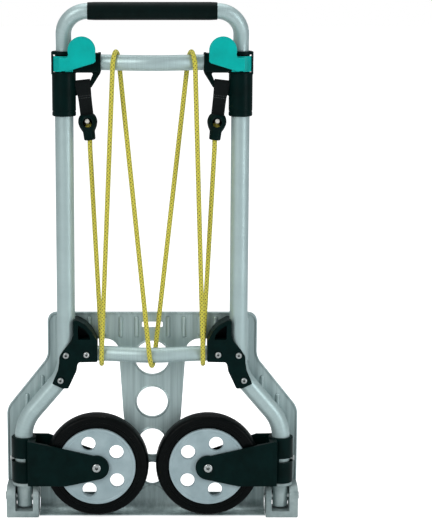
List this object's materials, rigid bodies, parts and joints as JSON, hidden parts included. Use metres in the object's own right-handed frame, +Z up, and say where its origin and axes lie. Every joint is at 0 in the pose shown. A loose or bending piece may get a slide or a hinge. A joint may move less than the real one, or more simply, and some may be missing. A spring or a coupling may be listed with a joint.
{
  "type": "folding hand truck",
  "caption": "Folded two-wheel hand truck with a telescopic handle, a fold-down toe plate, wheels on swinging arms and an elastic load cord.",
  "frame": {"origin": "on the floor, under the middle of the truck, in the plane of the frame tubes' axes", "axes": "+Z up along the tubes, +X to the right as the user behind the truck sees it, +Y towards the load side"},
  "size_m": [0.4294, 0.0605, 0.745],
  "materials": {
    "frame": "satin silver, faint blue-grey, with fine drawn lines along the tubes",
    "plate": "brushed sheet, duller and darker than the tubes",
    "cast": "rough die-cast, light grey",
    "plastic": "fine-grained moulded black with a slight blue-green tint",
    "teal": "semi-gloss moulded turquoise",
    "cord": "yellow braided sheath with dark flecks",
    "webbing": "flat woven black webbing",
    "hub": "satin light blue-grey moulding",
    "tyre": "solid black rubber, slightly shiny",
    "zinc": "bright zinc plating",
    "grip": "matt black closed-cell foam"
  },
  "bodies": {
    "frame": {"top_crossbar": "frame", "lower_crossbar": "frame", "elastic_cord": "cord", "left_frame_tube": "frame", "right_frame_tube": "frame", "left_collar": "plastic", "right_collar": "plastic", "left_corner_bracket": "plastic", "right_corner_bracket": "plastic", "left_bracket_screw_upper": "zinc", "right_bracket_screw_upper": "zinc", "left_bracket_screw_inner": "zinc", "right_bracket_screw_inner": "zinc", "left_bracket_screw_lower": "zinc", "right_bracket_screw_lower": "zinc", "left_foot_plug": "cast", "right_foot_plug": "cast", "left_thrust_washer": "cast", "right_thrust_washer": "cast", "left_arm_stop_screw": "zinc", "right_arm_stop_screw": "zinc", "left_strap": "webbing", "right_strap": "webbing", "left_cord_buckle": "plastic", "right_cord_buckle": "plastic"},
    "handle": {"handle_tube": "frame", "grip": "grip", "left_handle_glide": "plastic", "right_handle_glide": "plastic"},
    "toe_plate": {"toe_plate": "plate", "left_toe_foot": "cast", "right_toe_foot": "cast", "left_hinge_pin": "zinc", "right_hinge_pin": "zinc"},
    "left_lever": {"left_release_lever": "teal"},
    "left_pin": {"left_lock_pin": "zinc"},
    "left_arm": {"left_wheel_arm": "plastic", "left_axle_screw": "zinc", "left_axle_nut": "zinc"},
    "left_wheel": {"left_wheel_hub": "hub", "left_tyre": "tyre", "left_wheel_bush": "plastic"},
    "right_lever": {"right_release_lever": "teal"},
    "right_pin": {"right_lock_pin": "zinc"},
    "right_arm": {"right_wheel_arm": "plastic", "right_axle_screw": "zinc", "right_axle_nut": "zinc"},
    "right_wheel": {"right_wheel_hub": "hub", "right_tyre": "tyre", "right_wheel_bush": "plastic"}
  },
  "joints": [
    {"name": "toe_plate_fold", "type": "hinge", "parent": "frame", "child": "toe_plate", "pos_m": [0, 0, 0.0295], "axis": [-1, 0, 0], "range_deg": [0, 90]},
    {"name": "handle_slide", "type": "slide", "parent": "frame", "child": "handle", "axis": [0, 0, 1], "range_m": [0, 0.32]},
    {"name": "left_arm_swing", "type": "hinge", "parent": "frame", "child": "left_arm", "pos_m": [-0.187, 0, 0.08], "axis": [0, 0, -1], "range_deg": [0, 90]},
    {"name": "left_wheel_spin", "type": "hinge", "parent": "left_arm", "child": "left_wheel", "pos_m": [-0.0805, -0.007, 0.08], "axis": [0, 1, 0], "continuous": true},
    {"name": "left_lever_rock", "type": "hinge", "parent": "frame", "child": "left_lever", "pos_m": [-0.139, 0, 0.66], "axis": [-1, 0, 0], "range_deg": [0, 6], "stiffness_Nm_per_rad": 0.4, "springref_deg": -2.86},
    {"name": "left_lock_pin_draw", "type": "slide", "parent": "frame", "child": "left_pin", "axis": [0, -1, 0], "range_m": [0, 0.0026]},
    {"name": "right_arm_swing", "type": "hinge", "parent": "frame", "child": "right_arm", "pos_m": [0.187, 0, 0.08], "axis": [0, 0, 1], "range_deg": [0, 90]},
    {"name": "right_wheel_spin", "type": "hinge", "parent": "right_arm", "child": "right_wheel", "pos_m": [0.0805, -0.007, 0.08], "axis": [0, 1, 0], "continuous": true},
    {"name": "right_lever_rock", "type": "hinge", "parent": "frame", "child": "right_lever", "pos_m": [0.139, 0, 0.66], "axis": [-1, 0, 0], "range_deg": [0, 6], "stiffness_Nm_per_rad": 0.4, "springref_deg": -2.86},
    {"name": "right_lock_pin_draw", "type": "slide", "parent": "frame", "child": "right_pin", "axis": [0, -1, 0], "range_m": [0, 0.0026]}
  ],
  "couplings": [
    {"joint": "left_arm_swing", "follows": "toe_plate_fold", "ratio": 1},
    {"joint": "left_lock_pin_draw", "follows": "left_lever_rock", "m_per_rad": 0.0238},
    {"joint": "right_arm_swing", "follows": "toe_plate_fold", "ratio": 1},
    {"joint": "right_lock_pin_draw", "follows": "right_lever_rock", "m_per_rad": 0.0238}
  ]
}
